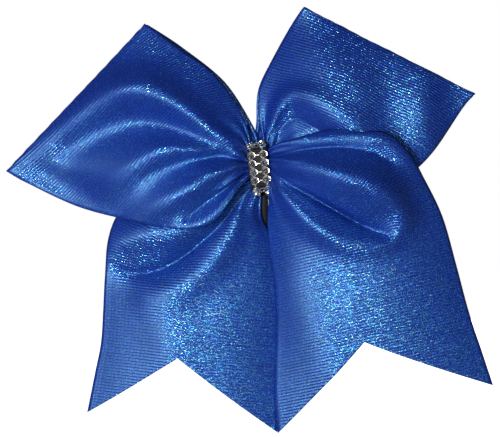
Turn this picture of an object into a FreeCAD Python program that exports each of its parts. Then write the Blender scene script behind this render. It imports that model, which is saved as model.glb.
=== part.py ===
"""A cheer hair bow: one wide grosgrain ribbon folded into two loops and two tails, cinched at the
middle, bound with a black wrap and a strip of rhinestones, and hung on an elastic hair loop.

Frame, in millimetres: +Z up as the bow is worn, the front of the bow faces -Y, +X to the viewer's
right. The origin is the centre of the round eye of the elastic, where the ponytail goes through.
The bow itself is drawn about the centre of its knot and then placed on that origin.
"""
import FreeCAD, Part
import math
import os

import Sketcher
from FreeCAD import Placement, Rotation, Vector

SIZES = {
    # ribbon
    "ribbon_thickness": 0.7,
    "panel_root": 7.0,
    "root_depth": 2.4,
    "root_half_height": 6.8,
    # knot
    "core_half_depth": 3.2,
    "core_half_height": 6.4,
    "core_half_length": 4.6,
    "core_corner": 1.8,
    "core_chamfer": 1.05,
    "knot_lean": 8.0,
    # cinch thread
    "thread_band": 0.3,
    "thread_thickness": 0.6,
    "thread_turns": 5,
    "thread_pitch": 0.8,
    "thread_turn_width": 0.55,
    # black centre wrap
    "wrap_width": 7.4,
    "wrap_thickness": 0.8,
    "wrap_front": 4.7,
    "wrap_back": 8.4,
    "wrap_half_height": 8.0,
    "wrap_corner": 3.2,
    "wrap_tab": 1.3,
    "mouth_clearance": 0.3,
    # elastic
    "eye_radius": 20.5,
    "cord_width": 3.2,
    "cord_depth": 3.6,
    "cord_corner": 0.8,
    "cord_back": 5.7,
    "neck_gap": 0.3,
    "neck_bend": 10.0,
    "neck_angle": 50.0,
    "pivot_drop": 11.8,
    "pivot_height": 38.24,
    "anchor_top": 4.0,
    "anchor_bottom": 9.6,
    "sleeve_length": 7.0,
    "sleeve_wall": 0.35,
    "sleeve_clearance": 0.03,
    "sleeve_rise": 1.6,
    # rear glue
    "glue_half_width": 3.0,
    "glue_depth": 2.8,
    "glue_height": 2.0,
    "glue_gap": 0.1,
    "glue_corner": 0.8,
    # rhinestone strip
    "stone_rows": 14,
    "stone_rows_below": 5,
    "stone_pitch": 2.95,
    "stone_column": 2.1,
    "cup_radius": 1.45,
    "cup_height": 1.45,
    "seat_radius": 1.2,
    "seat_depth": 0.95,
    "prong_gap": 0.9,
    "prong_height": 0.55,
    "link_half_length": 1.2,
    "link_half_width": 0.75,
    "link_thickness": 0.5,
    "crystal_radius": 1.17,
    "crystal_table": 0.7,
    "crystal_crown": 0.5,
    "crystal_girdle": 0.15,
    "crystal_pavilion": 0.5,
    "crystal_stand": 0.15,
    # joints between the upper and lower tails
    "tail_upper_end": 35.0,
    "tail_lower_start": 36.2,
}

doc = FreeCAD.newDocument("cheer_bow")
sheet = doc.addObject("Spreadsheet::Sheet", "sizes")
for row, (alias, value) in enumerate(SIZES.items(), start=1):
    sheet.set(f"A{row}", alias)
    sheet.set(f"B{row}", str(value))
    sheet.setAlias(f"B{row}", alias)
doc.recompute()

subparts = []


class Size:
    """A length worked out from the sheet: its number, and the expression that binds it."""

    def __init__(self, text, number):
        self.text = text
        self.number = number

    def join(self, sign, other, number):
        other_text = other.text if isinstance(other, Size) else repr(other)
        return Size(f"({self.text} {sign} {other_text})", number)

    def __add__(self, other):
        return self.join("+", other, self.number + number_of(other))

    def __sub__(self, other):
        return self.join("-", other, self.number - number_of(other))

    def __mul__(self, other):
        return self.join("*", other, self.number * number_of(other))

    def __truediv__(self, other):
        return self.join("/", other, self.number / number_of(other))

    def __neg__(self):
        return Size(f"(0 - {self.text})", -self.number)


def number_of(value):
    return value.number if isinstance(value, Size) else value


def size(alias):
    return Size(f"sizes.{alias}", float(sheet.get(alias)))


def number(alias):
    return float(sheet.get(alias))


NOTHING = Size("0", 0.0)


# ---------------------------------------------------------------- sketches and features

def new_body(label):
    body = doc.addObject("PartDesign::Body", label)
    body.Label = label
    subparts.append(body)
    return body


def plane_of(body, role):
    return next(o for o in body.Origin.OriginFeatures if o.Role == role)


def new_sketch(body, name, plane, height=None):
    """A sketch on one of the body's origin planes, or at a height above it."""
    sketch = body.newObject("Sketcher::SketchObject", f"{body.Label}_{name}")
    sketch.AttachmentSupport = [(plane_of(body, plane), "")]
    sketch.MapMode = "FlatFace"
    if height is not None:
        sketch.AttachmentOffset = Placement(Vector(0, 0, height.number), Rotation())
        sketch.setExpression("AttachmentOffset.Base.z", height.text)
    return sketch


def bind(sketch, constraint, value):
    index = sketch.addConstraint(constraint)
    sketch.renameConstraint(index, f"size{index}")
    sketch.setExpression(f"Constraints.size{index}", value.text)


def add_polygon(sketch, points):
    """A closed outline whose every corner is bound to the sheet."""
    first = sketch.GeometryCount
    count = len(points)
    for i, (x, y) in enumerate(points):
        end_x, end_y = points[(i + 1) % count]
        start = Vector(x.number, y.number, 0)
        end = Vector(end_x.number, end_y.number, 0)
        sketch.addGeometry(Part.LineSegment(start, end), False)
    for i in range(count):
        following = first + (i + 1) % count
        sketch.addConstraint(Sketcher.Constraint("Coincident", first + i, 2, following, 1))
    for i, (x, y) in enumerate(points):
        bind(sketch, Sketcher.Constraint("DistanceX", -1, 1, first + i, 1, x.number), x)
        bind(sketch, Sketcher.Constraint("DistanceY", -1, 1, first + i, 1, y.number), y)


def add_rectangle(sketch, low_x, high_x, low_y, high_y):
    add_polygon(sketch, [(low_x, low_y), (high_x, low_y), (high_x, high_y), (low_x, high_y)])


def add_circle(sketch, x, radius):
    index = sketch.addGeometry(Part.Circle(Vector(x.number, 0, 0), Vector(0, 0, 1), radius.number))
    bind(sketch, Sketcher.Constraint("DistanceX", -1, 1, index, 3, x.number), x)
    sketch.addConstraint(Sketcher.Constraint("PointOnObject", index, 3, -1))
    bind(sketch, Sketcher.Constraint("Radius", index, radius.number), radius)


def pad(body, sketch, length, both_sides=False):
    feature = body.newObject("PartDesign::Pad", f"{sketch.Name}_pad")
    feature.Profile = sketch
    feature.Length = length.number
    feature.setExpression("Length", length.text)
    if both_sides:
        feature.SideType = "Symmetric"
    doc.recompute()
    return feature


def cut(body, sketch, depth, both_sides=False):
    """A pocket, which is refused if it takes nothing away."""
    before = body.Shape.Volume
    feature = body.newObject("PartDesign::Pocket", f"{sketch.Name}_cut")
    feature.Profile = sketch
    feature.Length = depth.number
    feature.setExpression("Length", depth.text)
    if both_sides:
        feature.SideType = "Symmetric"
    doc.recompute()
    if not body.Shape.Volume < before - 1e-6:
        raise RuntimeError(f"{feature.Name} cuts nothing")
    return feature


def mirror_left_right(body, features):
    mirrored = body.newObject("PartDesign::Mirrored", f"{body.Label}_mirrored")
    mirrored.Originals = features
    mirrored.MirrorPlane = (plane_of(body, "YZ_Plane"), [""])
    body.Tip = mirrored
    doc.recompute()


def round_edges(body, name, radius, wanted):
    """Fillets the edges of the body whose centre of mass passes the test."""
    found = [f"Edge{i}" for i, edge in enumerate(body.Shape.Edges, start=1) if wanted(edge)]
    if not found:
        raise RuntimeError(f"{body.Label} has no edge to round for {name}")
    base = body.Tip
    fillet = body.newObject("PartDesign::Fillet", f"{body.Label}_{name}")
    fillet.Base = (base, found)
    fillet.Radius = radius.number
    fillet.setExpression("Radius", radius.text)
    body.Tip = fillet
    doc.recompute()


def runs_along(axis):
    """Tests whether an edge is straight and lies along an axis."""
    def test(edge):
        if not isinstance(edge.Curve, Part.Line):
            return False
        return abs(edge.Curve.Direction.dot(axis)) > 0.999
    return test


ALONG_X = Vector(1, 0, 0)

# ---------------------------------------------------------------- where the knot stands

knot_height = number("pivot_height") + number("pivot_drop")
KNOT = Placement(Vector(0, -number("cord_back"), knot_height), Rotation())
LEANING_KNOT = KNOT.multiply(Placement(Vector(), Rotation(Vector(0, 1, 0), -number("knot_lean"))))

# ---------------------------------------------------------------- knot: gathers, thread, wrap


def make_ribbon_core():
    """The three gathered passes of ribbon, pressed together inside the wrap."""
    body = new_body("ribbon_core")
    sketch = new_sketch(body, "section", "YZ_Plane")
    depth, height = size("core_half_depth"), size("core_half_height")
    add_rectangle(sketch, -depth, depth, -height, height)
    pad(body, sketch, size("core_half_length") * 2, both_sides=True)
    round_edges(body, "corners", size("core_corner"), runs_along(ALONG_X))
    body.Placement = LEANING_KNOT


def ring_outline(body, name, thickness):
    """The core's outline grown by a thickness, its corners cut off as the thread pulls across them."""
    sketch = new_sketch(body, name, "YZ_Plane")
    depth, height = size("core_half_depth") + thickness, size("core_half_height") + thickness
    corner = size("core_chamfer") + thickness * (2 - math.sqrt(2))
    add_polygon(sketch, [
        (-depth, -(height - corner)), (-(depth - corner), -height),
        (depth - corner, -height), (depth, -(height - corner)),
        (depth, height - corner), (depth - corner, height),
        (-(depth - corner), height), (-depth, height - corner),
    ])
    return sketch


def make_cinch_thread():
    """Tight turns of waxed thread that cinch the gathers: a band with a ridge for each turn."""
    body = new_body("cinch_thread")
    turns = number("thread_turns")
    band_width = size("thread_pitch") * turns
    pad(body, ring_outline(body, "band", size("thread_band")), band_width, both_sides=True)
    ridge_sketch = ring_outline(body, "ridge", size("thread_thickness"))
    ridge = pad(body, ridge_sketch, size("thread_turn_width"), both_sides=True)
    for name, backwards in (("turns_right", False), ("turns_left", True)):
        turns_added = body.newObject("PartDesign::LinearPattern", f"cinch_thread_{name}")
        turns_added.Originals = [ridge]
        turns_added.Direction = (plane_of(body, "X_Axis"), [""])
        turns_added.Reversed = backwards
        turns_added.Length = number("thread_pitch") * (turns - 1) / 2
        turns_added.setExpression("Length", "sizes.thread_pitch * (sizes.thread_turns - 1) / 2")
        turns_added.Occurrences = int((turns + 1) / 2)
        body.Tip = turns_added
        doc.recompute()
    cut(body, ring_outline(body, "hole", NOTHING), band_width * 2, both_sides=True)
    body.Placement = LEANING_KNOT


def make_centre_wrap():
    """Black grosgrain wound once round the knot. Its two ends take the elastic between them: the
    inner end stops under the knot, in front of the elastic, and the outer end runs on behind it."""
    body = new_body("centre_wrap")
    front, back = size("wrap_front"), size("wrap_back")
    height, wall = size("wrap_half_height"), size("wrap_thickness")
    width = size("wrap_width")
    outside = new_sketch(body, "outside", "YZ_Plane")
    add_rectangle(outside, -front, back, -height, height)
    pad(body, outside, width, both_sides=True)
    mouth_front = size("cord_back") - size("cord_depth") / 2 - size("mouth_clearance")

    inside = new_sketch(body, "inside", "YZ_Plane")
    add_rectangle(inside, -(front - wall), back - wall, -(height - wall), height - wall)
    cut(body, inside, width * 2, both_sides=True)

    def inner(edge):
        """The inner corner edges, apart from the one beside the mouth."""
        centre = edge.CenterOfMass
        by_mouth = centre.y > 0 and centre.z < 0
        return runs_along(ALONG_X)(edge) and not by_mouth and abs(centre.z) < height.number - 0.1

    def outer(edge):
        centre = edge.CenterOfMass
        by_mouth = centre.y > 0 and centre.z < 0
        return runs_along(ALONG_X)(edge) and not by_mouth and abs(centre.z) > height.number - 0.1

    round_edges(body, "inner_corners", size("wrap_corner") - wall, inner)
    round_edges(body, "outer_corners", size("wrap_corner"), outer)
    mouth = new_sketch(body, "mouth", "YZ_Plane")
    add_rectangle(mouth, mouth_front, back - wall, -(height + wall), -(height - wall * 2))
    cut(body, mouth, width * 2, both_sides=True)
    tab = new_sketch(body, "tab", "YZ_Plane")
    add_rectangle(tab, back - wall, back, -(height + size("wrap_tab")), -(height - wall))
    pad(body, tab, width, both_sides=True)
    body.Placement = LEANING_KNOT


def make_elastic_anchor():
    """The two ends of the elastic, side by side, glued in behind the knot."""
    body = new_body("elastic_anchor")
    sketch = new_sketch(body, "section", "XY_Plane", -size("anchor_bottom"))
    half_gap, cord = size("neck_gap") / 2, size("cord_width")
    near, far = size("cord_back") - size("cord_depth") / 2, size("cord_back") + size("cord_depth") / 2
    add_rectangle(sketch, half_gap, half_gap + cord, near, far)
    add_rectangle(sketch, -(half_gap + cord), -half_gap, near, far)
    pad(body, sketch, size("anchor_bottom") + size("anchor_top"))
    round_edges(body, "corners", size("cord_corner"), runs_along(Vector(0, 0, 1)))
    body.Placement = KNOT


def make_rear_glue():
    """The bead of hot glue that holds the elastic's ends inside the wrap."""
    body = new_body("rear_glue")
    sketch = new_sketch(body, "section", "XY_Plane", size("anchor_top") + size("glue_gap"))
    half_width = size("glue_half_width")
    near = size("cord_back") - size("cord_depth") / 2
    add_rectangle(sketch, -half_width, half_width, near, near + size("glue_depth"))
    pad(body, sketch, size("glue_height"))
    round_edges(body, "corners", size("glue_corner"), lambda edge: isinstance(edge.Curve, Part.Line))
    body.Placement = KNOT


# ---------------------------------------------------------------- elastic hair loop


def make_hair_elastic():
    """A loop of covered elastic: two strands side by side at the neck, opening to a round eye."""
    body = new_body("hair_elastic")
    radius, bend, top = size("eye_radius") + size("cord_width") / 2, size("neck_bend"), size("pivot_height")
    angle = math.radians(number("neck_angle"))
    cosine = Size("cos(sizes.neck_angle * 1 deg)", math.cos(angle))
    sine = Size("sin(sizes.neck_angle * 1 deg)", math.sin(angle))
    strand = size("neck_gap") / 2 + size("cord_width") / 2
    # the straight side of the neck, from where its bend ends to where it touches the eye
    touch_x, touch_y = radius * cosine, radius * sine
    bend_end_x = strand + bend - bend * cosine
    bend_end_y = touch_y + (touch_x - bend_end_x) * cosine / sine
    bend_start_y = bend_end_y + bend * sine
    middle = Vector(0, 0, 1)

    def flat(x, y, side=1):
        return Vector(side * x.number, y.number, 0)

    def neck_arc(side):
        circle = Part.Circle(flat(strand + bend, bend_start_y, side), middle, bend.number)
        if side > 0:
            return Part.ArcOfCircle(circle, math.pi, math.pi + angle)
        return Part.ArcOfCircle(circle, -angle, 0)

    path = new_sketch(body, "path", "XZ_Plane")
    eye_circle = Part.Circle(Vector(), middle, radius.number)
    path.addGeometry(Part.LineSegment(flat(strand, top, -1), flat(strand, bend_start_y, -1)), False)
    path.addGeometry(neck_arc(-1), False)
    path.addGeometry(Part.LineSegment(flat(bend_end_x, bend_end_y, -1), flat(touch_x, touch_y, -1)), False)
    path.addGeometry(Part.ArcOfCircle(eye_circle, math.pi - angle, 2 * math.pi + angle), False)
    path.addGeometry(Part.LineSegment(flat(touch_x, touch_y), flat(bend_end_x, bend_end_y)), False)
    path.addGeometry(neck_arc(1), False)
    path.addGeometry(Part.LineSegment(flat(strand, bend_start_y), flat(strand, top)), False)
    joints = [(0, 2, 1, 2), (1, 1, 2, 1), (2, 2, 3, 1), (3, 2, 4, 1), (4, 2, 5, 2), (5, 1, 6, 1)]
    for first, first_end, second, second_end in joints:
        path.addConstraint(Sketcher.Constraint("Tangent", first, first_end, second, second_end))
    path.addConstraint(Sketcher.Constraint("Vertical", 0))
    path.addConstraint(Sketcher.Constraint("Vertical", 6))
    path.addConstraint(Sketcher.Constraint("Coincident", 3, 3, -1, 1))
    path.addConstraint(Sketcher.Constraint("Equal", 1, 5))
    bind(path, Sketcher.Constraint("Radius", 3, radius.number), radius)
    bind(path, Sketcher.Constraint("Radius", 5, bend.number), bend)
    bind(path, Sketcher.Constraint("DistanceX", -1, 1, 6, 2, strand.number), strand)
    bind(path, Sketcher.Constraint("DistanceX", -1, 1, 0, 1, -strand.number), -strand)
    for line, end, height in ((6, 2, top), (0, 1, top), (6, 1, bend_start_y), (0, 2, bend_start_y)):
        bind(path, Sketcher.Constraint("DistanceY", -1, 1, line, end, height.number), height)

    section = new_sketch(body, "section", "XY_Plane", size("pivot_height"))
    half_gap, cord, half_depth = size("neck_gap") / 2, size("cord_width"), size("cord_depth") / 2
    add_rectangle(section, -(half_gap + cord), -half_gap, -half_depth, half_depth)
    pipe = body.newObject("PartDesign::AdditivePipe", "hair_elastic_pipe")
    pipe.Profile = section
    pipe.Spine = path
    pipe.Mode = "Standard"
    doc.recompute()
    body.Placement = Placement()
    return flat(bend_end_x, bend_end_y), flat(touch_x, touch_y)


def make_elastic_sleeve(side_top, side_foot):
    """The pressed metal sleeve that joins the elastic's cord, on its straight right side."""
    body = new_body("elastic_sleeve")
    length = size("sleeve_length")
    start = new_sketch(body, "outside", "XY_Plane", -length / 2)
    half_width = size("cord_width") / 2 + size("sleeve_clearance")
    half_depth = size("cord_depth") / 2 + size("sleeve_clearance")
    wall = size("sleeve_wall")
    add_rectangle(start, -(half_width + wall), half_width + wall, -(half_depth + wall), half_depth + wall)
    pad(body, start, length)
    round_edges(body, "corners", size("cord_corner") + wall, runs_along(Vector(0, 0, 1)))
    hole = new_sketch(body, "hole", "XY_Plane", length / 2)
    add_rectangle(hole, -half_width, half_width, -half_depth, half_depth)
    cut(body, hole, length)
    # up from the middle of the straight, clear of the eye's opening
    along = (side_top - side_foot).normalize() * number("sleeve_rise")
    middle = (side_top + side_foot) * 0.5 + along
    turn = Rotation(Vector(0, 1, 0), -number("neck_angle"))
    body.Placement = Placement(Vector(middle.x, 0, middle.y), turn)


# ---------------------------------------------------------------- rhinestone strip


def make_setting_row(index, place):
    """Two claw cups joined by a link, one row of the strip."""
    body = new_body(f"setting_row_{index:02d}")
    column, radius = size("stone_column"), size("cup_radius")
    top = size("cup_height")
    cups = new_sketch(body, "cups", "XY_Plane")
    add_circle(cups, column, radius)
    add_circle(cups, -column, radius)
    pad(body, cups, top)
    link = new_sketch(body, "link", "XY_Plane")
    half_length, half_width = size("link_half_length"), size("link_half_width")
    add_rectangle(link, -half_length, half_length, -half_width, half_width)
    pad(body, link, size("link_thickness"))
    seats = new_sketch(body, "seats", "XY_Plane", top)
    add_circle(seats, column, size("seat_radius"))
    add_circle(seats, -column, size("seat_radius"))
    cut(body, seats, size("seat_depth"))
    half_gap = size("prong_gap") / 2
    across = new_sketch(body, "across", "XY_Plane", top)
    add_rectangle(across, -(column + radius * 2), column + radius * 2, -half_gap, half_gap)
    cut(body, across, size("prong_height"))
    along = new_sketch(body, "along", "XY_Plane", top)
    add_rectangle(along, column - half_gap, column + half_gap, -radius * 2, radius * 2)
    add_rectangle(along, -(column + half_gap), -(column - half_gap), -radius * 2, radius * 2)
    cut(body, along, size("prong_height"))
    body.Placement = place


def make_crystal_row(index, place):
    """The two glass stones of one row, each turned about its own upright axis."""
    body = new_body(f"crystal_row_{index:02d}")
    profile = new_sketch(body, "profile", "XZ_Plane")
    column, radius = size("stone_column"), size("crystal_radius")
    girdle = size("cup_height") - size("prong_height") + size("crystal_stand")
    bottom = girdle - size("crystal_pavilion")
    shoulder = girdle + size("crystal_girdle")
    top = shoulder + size("crystal_crown")
    add_polygon(profile, [
        (column, bottom),
        (column + radius, girdle),
        (column + radius, shoulder),
        (column + size("crystal_table"), top),
        (column, top),
    ])
    turned = body.newObject("PartDesign::Revolution", f"{body.Label}_turned")
    turned.Profile = profile
    turned.ReferenceAxis = (profile, ["Edge5"])
    turned.Angle = 360
    doc.recompute()
    mirror_left_right(body, [turned])
    body.Placement = place


def strip_place(distance):
    """A place on the outside of the wrap, at a distance from its front centre, up being positive:
    the strip's own z points out of the wrap and its y points on along the strip."""
    corner = number("wrap_corner")
    front, back, height = number("wrap_front"), number("wrap_back"), number("wrap_half_height")
    flat = height - corner
    turn = corner * math.pi / 2
    top_run = front + back - 2 * corner
    side = 1 if distance >= 0 else -1
    run = abs(distance)
    if run <= flat:
        y, z, lean = -front, run, 0.0
    elif run <= flat + turn:
        lean = (run - flat) / corner
        y, z = -front + corner - corner * math.cos(lean), flat + corner * math.sin(lean)
    elif run <= flat + turn + top_run:
        y, z, lean = -front + corner + run - flat - turn, height, math.pi / 2
    elif run <= flat + 2 * turn + top_run:
        part = (run - flat - turn - top_run) / corner
        y, z = back - corner + corner * math.sin(part), height - corner + corner * math.cos(part)
        lean = math.pi / 2 + part
    else:
        y, z, lean = back, flat - (run - flat - 2 * turn - top_run), math.pi
    # at the front the strip's y is the row's Z and its z is the row's -Y
    upright = Rotation(Vector(1, 0, 0), 90)
    tilt = Rotation(Vector(1, 0, 0), -side * math.degrees(lean))
    return LEANING_KNOT.multiply(Placement(Vector(0, y, side * z), tilt.multiply(upright)))


def make_rhinestone_strip():
    pitch, below = number("stone_pitch"), number("stone_rows_below")
    for i in range(int(number("stone_rows"))):
        place = strip_place((i - below + 0.5) * pitch)
        make_setting_row(i + 1, place)
        make_crystal_row(i + 1, place)


# ---------------------------------------------------------------- ribbon panels
#
# A panel is a stretch of the ribbon. Each station gives, from the knot outwards, the place of one
# selvage, the place of the other, and how far the middle stands forward of the line between them.
# Places are from the knot's centre: right, back, up.

ROOT = number("panel_root")
ROOT_DEPTH = number("root_depth")
ROOT_HEIGHT = number("root_half_height")
UPPER_END = -number("tail_upper_end")
LOWER_START = -number("tail_lower_start")
LEFT_FOLD = ((-39.2, -0.8, 50.0), (-87.7, -3.8, -1.7), 0.0)
RIGHT_FOLD = ((15.4, 0.0, 56.0), (75.2, 1.0, 25.6), 0.0)
POINTS_ACROSS = 7
# the wedge that cuts a notch: where it starts in front of the bow, how deep it is from front to
# back, and how far past the tips it reaches
WEDGE_FRONT = -40.0
WEDGE_DEPTH = 80.0
WEDGE_OVERSHOOT = 1.02


def root(x, y):
    return ((x, y, ROOT_HEIGHT), (x, y, -ROOT_HEIGHT), 0.0)


PANELS = {
    "left_loop_front": (-1, [
        root(-ROOT, -ROOT_DEPTH),
        ((-12.0, -5.0, 25.0), (-14.0, -9.0, -14.5), 4.0),
        ((-20.0, -7.0, 36.0), (-30.0, -14.0, -20.5), 7.0),
        ((-29.5, -6.0, 43.0), (-58.0, -14.0, -15.3), 7.0),
        LEFT_FOLD,
    ]),
    "left_loop_back": (1, [
        root(-ROOT, 0.0),
        ((-12.0, 0.6, 24.0), (-14.0, -4.5, -13.5), 0.5),
        ((-20.0, 1.2, 35.0), (-30.0, -8.5, -19.5), 1.0),
        ((-29.5, 1.0, 42.5), (-57.0, -9.5, -14.5), 1.0),
        LEFT_FOLD,
    ]),
    "right_loop_front": (-1, [
        root(ROOT, 0.0),
        ((2.0, -1.5, 22.0), (20.0, 0.4, -11.5), 0.5),
        ((3.5, -3.0, 34.0), (38.0, 0.0, -13.0), 2.0),
        ((9.0, -3.5, 45.5), (58.0, 0.0, 2.0), 3.5),
        RIGHT_FOLD,
    ]),
    "right_loop_back": (1, [
        root(ROOT, ROOT_DEPTH),
        ((2.0, 2.8, 21.0), (20.0, 3.2, -10.5), 0.0),
        ((3.5, 3.2, 33.0), (38.0, 3.4, -12.0), 0.0),
        ((9.0, 2.6, 45.0), (57.0, 3.4, 3.0), 0.0),
        RIGHT_FOLD,
    ]),
    "right_tail_upper": (-1, [
        root(ROOT, -ROOT_DEPTH),
        ((22.0, -6.5, 13.0), (8.5, -5.0, -13.0), 3.0),
        ((43.0, -9.0, 12.0), (5.0, -5.0, -22.0), 7.0),
        ((56.0, -8.0, -3.0), (4.6, -4.0, -29.0), 7.0),
        ((68.6, -5.5, UPPER_END), (5.2, -4.0, UPPER_END), 4.0),
    ]),
    "left_tail_upper": (1, [
        root(-ROOT, ROOT_DEPTH),
        ((-18.0, 3.0, 8.0), (-6.0, 2.0, -12.5), 0.5),
        ((-34.0, 3.0, 4.0), (-3.0, 1.2, -21.5), 3.0),
        ((-48.0, 1.5, -10.0), (0.8, 0.0, -30.0), 6.0),
        ((-53.6, -3.5, UPPER_END), (4.2, -3.0, UPPER_END), 5.0),
    ]),
    "right_tail": (-1, [
        ((68.8, -5.5, LOWER_START), (5.2, -4.0, LOWER_START), 4.0),
        ((74.5, -4.0, -54.0), (6.0, -3.0, -60.0), 5.0),
        ((81.8, -3.0, -76.0), (6.6, -2.0, -92.7), 4.0),
    ]),
    "left_tail": (1, [
        ((-53.6, -3.5, LOWER_START), (4.2, -3.0, LOWER_START), 5.0),
        ((-55.2, -3.0, -61.0), (5.2, -2.0, -64.0), 7.0),
        ((-60.0, -2.0, -85.4), (5.7, -1.0, -92.5), 6.0),
    ]),
}
# the point of each tail's V notch
NOTCHES = {"right_tail": (36.8, -60.3), "left_tail": (-22.9, -67.0)}


def station_grid(stations):
    """Rows of points, one row for each station, from selvage to selvage."""
    grid = []
    for upper, lower, bulge in stations:
        upper, lower = Vector(*upper), Vector(*lower)
        across = []
        for k in range(POINTS_ACROSS):
            v = k / (POINTS_ACROSS - 1)
            forward = Vector(0, -bulge * 4 * v * (1 - v), 0)
            across.append(upper + (lower - upper) * v + forward)
        grid.append(across)
    return grid


def smooth_surface(grid):
    surface = Part.BSplineSurface()
    surface.interpolate(grid)
    return surface


def thick_panel(stations, side):
    """The surface through the stations, and a second one the ribbon's thickness in front of it or
    behind it, closed along both selvages and both ends."""
    near = smooth_surface(station_grid(stations))
    low_u, high_u, low_v, high_v = near.bounds()
    thickness = number("ribbon_thickness")
    rows = 2 * len(stations) - 1
    near_grid, far_grid = [], []
    for i in range(rows):
        u = low_u + (high_u - low_u) * i / (rows - 1)
        near_row, far_row = [], []
        for k in range(POINTS_ACROSS):
            v = low_v + (high_v - low_v) * k / (POINTS_ACROSS - 1)
            point, normal = near.value(u, v), near.normal(u, v)
            outward = normal if normal.y * side > 0 else normal * -1
            near_row.append(point)
            far_row.append(point + outward * thickness)
        near_grid.append(near_row)
        far_grid.append(far_row)
    near, far = smooth_surface(near_grid), smooth_surface(far_grid)
    faces = [near.toShape(), far.toShape()]
    rims = []
    for surface in (near, far):
        low_u, high_u, low_v, high_v = surface.bounds()
        rims.append([
            surface.uIso(low_u), surface.uIso(high_u), surface.vIso(low_v), surface.vIso(high_v)])
    for near_rim, far_rim in zip(*rims):
        faces.append(Part.makeRuledSurface(near_rim.toShape(), far_rim.toShape()))
    shell = Part.makeShell(faces)
    shell.sewShape()
    solid = Part.Solid(shell)
    if solid.Volume < 0:
        solid.reverse()
    return solid


def notch_cutter(stations, apex):
    """A wedge through the tail's end: its point is the apex and its mouth is between the tips."""
    upper_tip, lower_tip, _ = stations[-1]
    point = Vector(apex[0], WEDGE_FRONT, apex[1])
    corners = [point]
    for tip in (upper_tip, lower_tip):
        corners.append(point + (Vector(tip[0], WEDGE_FRONT, tip[2]) - point) * WEDGE_OVERSHOOT)
    corners.append(point)
    return Part.Face(Part.makePolygon(corners)).extrude(Vector(0, WEDGE_DEPTH, 0))


def make_panel(name, side, stations):
    """A panel of ribbon, with a V cut into its end if it is a tail."""
    solid = thick_panel(stations, side)
    if name in NOTCHES:
        solid = solid.cut(notch_cutter(stations, NOTCHES[name])).Solids[0]
    part = doc.addObject("Part::Feature", name)
    part.Label = name
    part.Shape = solid
    part.Placement = KNOT
    subparts.append(part)


# ---------------------------------------------------------------- the whole bow

make_ribbon_core()
make_cinch_thread()
make_centre_wrap()
make_elastic_anchor()
make_rear_glue()
make_elastic_sleeve(*make_hair_elastic())
make_rhinestone_strip()
for panel_name, (panel_side, panel_stations) in PANELS.items():
    make_panel(panel_name, panel_side, panel_stations)

doc.recompute()
for item in doc.Objects:
    if "Invalid" in item.State or "Error" in item.State:
        raise RuntimeError(f"{item.Label} failed: {item.State}")
for item in subparts:
    if item.Shape.isNull() or not item.Shape.isValid():
        raise RuntimeError(f"{item.Label} has no valid shape")

os.makedirs("parts", exist_ok=True)
for item in subparts:
    item.Shape.exportStep(f"parts/{item.Label}.step")
    print(f"{item.Label}: {item.Shape.Volume:.1f} mm3, {len(item.Shape.Solids)} solid(s)")
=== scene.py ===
"""Looks of the cheer hair bow: ribbon, rhinestones, black wrap and hair elastic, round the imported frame."""
import math

import bmesh
import bpy
from mathutils import Matrix, Vector


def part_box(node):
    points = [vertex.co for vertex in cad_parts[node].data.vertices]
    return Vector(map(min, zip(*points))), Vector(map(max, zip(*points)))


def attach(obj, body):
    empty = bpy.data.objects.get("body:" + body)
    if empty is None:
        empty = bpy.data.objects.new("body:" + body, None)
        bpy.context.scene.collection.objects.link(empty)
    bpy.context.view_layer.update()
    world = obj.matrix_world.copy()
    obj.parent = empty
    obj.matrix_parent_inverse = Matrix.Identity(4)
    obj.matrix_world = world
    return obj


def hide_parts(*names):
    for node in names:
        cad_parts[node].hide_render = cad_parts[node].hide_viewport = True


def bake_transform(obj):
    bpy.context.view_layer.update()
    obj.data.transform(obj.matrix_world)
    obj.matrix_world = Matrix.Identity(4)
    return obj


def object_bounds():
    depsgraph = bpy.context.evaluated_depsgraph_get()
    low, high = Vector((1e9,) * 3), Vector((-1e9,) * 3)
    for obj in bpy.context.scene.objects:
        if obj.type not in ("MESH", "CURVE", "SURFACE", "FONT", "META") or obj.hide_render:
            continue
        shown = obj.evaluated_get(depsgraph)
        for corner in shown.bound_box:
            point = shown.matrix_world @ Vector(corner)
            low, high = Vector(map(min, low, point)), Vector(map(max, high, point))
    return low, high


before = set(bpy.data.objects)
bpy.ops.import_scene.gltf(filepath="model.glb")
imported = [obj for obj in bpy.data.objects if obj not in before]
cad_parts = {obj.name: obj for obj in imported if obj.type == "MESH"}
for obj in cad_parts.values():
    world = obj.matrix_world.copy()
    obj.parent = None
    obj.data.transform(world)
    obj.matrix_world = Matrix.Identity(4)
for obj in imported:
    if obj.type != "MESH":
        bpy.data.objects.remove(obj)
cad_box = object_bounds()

MM = 0.001

# ---------------------------------------------------------------- places taken from the frame

core_low, core_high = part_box("ribbon_core")
KNOT = (core_low + core_high) / 2
LEAN = Matrix.Rotation(math.radians(-8), 3, "Y")


def at(x, y, z):
    """A place from the knot's centre, in millimetres: right, back, up."""
    return KNOT + Vector((x, y, z)) * MM


# ---------------------------------------------------------------- ribbon sizes, in millimetres

WIDTH = 76.2
THICKNESS = 0.55
RIB_PITCH = 1.05
ROWS_PER_RIB = 4
COLUMNS = 60
SELVAGE = 1.3
RIB_VALLEY = 0.35
FLAKE = 0.17
FLAT_SELVAGE = 0.75
CREASE = 0.65
SAMPLES_PER_SPAN = 10

# the ribbon ends at CUT_X inside the knot, over KNOT_REACH above and below its middle
CUT_X = 2.6
KNOT_REACH = 8.0


# ---------------------------------------------------------------- meshes

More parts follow.
